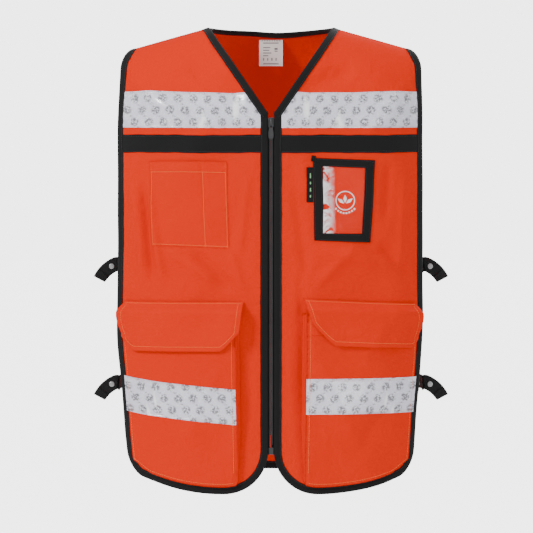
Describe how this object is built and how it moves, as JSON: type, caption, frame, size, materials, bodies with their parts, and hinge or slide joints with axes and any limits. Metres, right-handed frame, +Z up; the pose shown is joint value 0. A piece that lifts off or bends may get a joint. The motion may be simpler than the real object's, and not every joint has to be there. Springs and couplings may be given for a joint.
{
  "type": "high-visibility work vest",
  "caption": "Orange high-visibility vest with black binding, reflective bands, front zip, chest pocket, identity window, flapped cargo pockets and side straps.",
  "frame": {"origin": "on the body form's vertical axis, at the height of the lowest point of the front hem", "axes": "+Z up, -Y the way the front faces, +X the wearer's left"},
  "size_m": [0.5012, 0.2573, 0.6554],
  "materials": {
    "shell_cloth": "woven, high-visibility orange",
    "black_trim": "ribbed woven ribbon",
    "webbing": "ribbed webbing",
    "reflective_tape": "embossed retroreflective",
    "zip_cloth": "herringbone",
    "zip_plastic": "moulded",
    "clear_vinyl": "clear",
    "label_cloth": "satin",
    "snap_metal": "satin",
    "touch_fastener": "hook and loop"
  },
  "bodies": {
    "back": {"back_panel": "shell_cloth", "back_neck_binding": "black_trim", "back_edge_binding": "black_trim", "back_chest_tape": "reflective_tape", "back_chest_ribbon": "black_trim", "back_waist_tape": "reflective_tape", "side_strap_upper_left": "webbing", "side_strap_lower_left": "webbing", "side_strap_upper_right": "webbing", "side_strap_lower_right": "webbing", "strap_snaps_left": "snap_metal", "strap_snaps_right": "snap_metal"},
    "neck_label": {"neck_label": "label_cloth"},
    "front_left": {"front_panel_left": "shell_cloth", "edge_binding_left": "black_trim", "zip_tape_left": "zip_cloth", "zip_teeth_left": "zip_plastic", "zip_box": "zip_plastic", "chest_tape_left": "reflective_tape", "chest_ribbon_left": "black_trim", "id_window": "clear_vinyl", "id_frame": "black_trim", "cargo_pocket_left": "shell_cloth", "cargo_gusset_left": "shell_cloth", "pocket_tape_left": "reflective_tape", "pocket_loop_left": "touch_fastener", "front_tab_upper_left": "webbing", "front_tab_lower_left": "webbing", "tab_snaps_left": "snap_metal"},
    "front_right": {"front_panel_right": "shell_cloth", "edge_binding_right": "black_trim", "zip_tape_right": "zip_cloth", "zip_teeth_right": "zip_plastic", "zip_pin": "zip_plastic", "chest_tape_right": "reflective_tape", "chest_ribbon_right": "black_trim", "chest_pocket": "shell_cloth", "cargo_pocket_right": "shell_cloth", "cargo_gusset_right": "shell_cloth", "pocket_tape_right": "reflective_tape", "pocket_loop_right": "touch_fastener", "front_tab_upper_right": "webbing", "front_tab_lower_right": "webbing", "tab_snaps_right": "snap_metal"},
    "side_tag": {"side_tag": "black_trim"},
    "flap_left": {"cargo_flap_left": "shell_cloth", "flap_hook_left": "touch_fastener"},
    "flap_right": {"cargo_flap_right": "shell_cloth", "flap_hook_right": "touch_fastener"},
    "zip_slider": {"zip_slider": "zip_plastic"},
    "zip_pull": {"zip_pull": "zip_plastic"},
    "tail_upper_left": {"strap_tail_upper_left": "webbing", "tail_snap_upper_left": "snap_metal"},
    "tail_upper_right": {"strap_tail_upper_right": "webbing", "tail_snap_upper_right": "snap_metal"},
    "tail_lower_left": {"strap_tail_lower_left": "webbing", "tail_snap_lower_left": "snap_metal"},
    "tail_lower_right": {"strap_tail_lower_right": "webbing", "tail_snap_lower_right": "snap_metal"}
  },
  "joints": [
    {"name": "front_left_open", "type": "hinge", "parent": "back", "child": "front_left", "pos_m": [0.212, -0.022, 0.3], "axis": [0, 0, 1], "range_deg": [0, 25]},
    {"name": "front_right_open", "type": "hinge", "parent": "back", "child": "front_right", "pos_m": [-0.212, -0.022, 0.3], "axis": [0, 0, -1], "range_deg": [0, 25]},
    {"name": "zip_slide", "type": "slide", "parent": "front_left", "child": "zip_slider", "axis": [0, 0, -1], "range_m": [0, 0.44], "deforming": ["zip_teeth_left", "zip_teeth_right", "zip_tape_left", "zip_tape_right"]},
    {"name": "zip_pull_swing", "type": "hinge", "parent": "zip_slider", "child": "zip_pull", "pos_m": [0, -0.1202, 0.522], "axis": [-1, 0, 0], "range_deg": [0, 170]},
    {"name": "flap_left_lift", "type": "hinge", "parent": "front_left", "child": "flap_left", "pos_m": [0.12827, -0.10875, 0.2705], "axis": [-0.948, -0.3182, 0], "range_deg": [0, 105]},
    {"name": "flap_right_lift", "type": "hinge", "parent": "front_right", "child": "flap_right", "pos_m": [-0.12827, -0.10875, 0.2705], "axis": [-0.948, 0.3182, 0], "range_deg": [0, 105]},
    {"name": "neck_label_lift", "type": "hinge", "parent": "back", "child": "neck_label", "pos_m": [0, 0.0755, 0.638], "axis": [-1, 0, 0], "range_deg": [0, 70]},
    {"name": "side_tag_lift", "type": "hinge", "parent": "front_left", "child": "side_tag", "pos_m": [0.0588, -0.118, 0.4345], "axis": [0, 0, 1], "range_deg": [0, 80]},
    {"name": "tail_upper_left_swing", "type": "hinge", "parent": "back", "child": "tail_upper_left", "pos_m": [0.2175, -0.032, 0.321], "axis": [0, 0, 1], "range_deg": [-20, 60]},
    {"name": "tail_upper_right_swing", "type": "hinge", "parent": "back", "child": "tail_upper_right", "pos_m": [-0.2175, -0.032, 0.321], "axis": [0, 0, -1], "range_deg": [-20, 60]},
    {"name": "tail_lower_left_swing", "type": "hinge", "parent": "back", "child": "tail_lower_left", "pos_m": [0.2175, -0.032, 0.154], "axis": [0, 0, 1], "range_deg": [-20, 60]},
    {"name": "tail_lower_right_swing", "type": "hinge", "parent": "back", "child": "tail_lower_right", "pos_m": [-0.2175, -0.032, 0.154], "axis": [0, 0, -1], "range_deg": [-20, 60]}
  ]
}
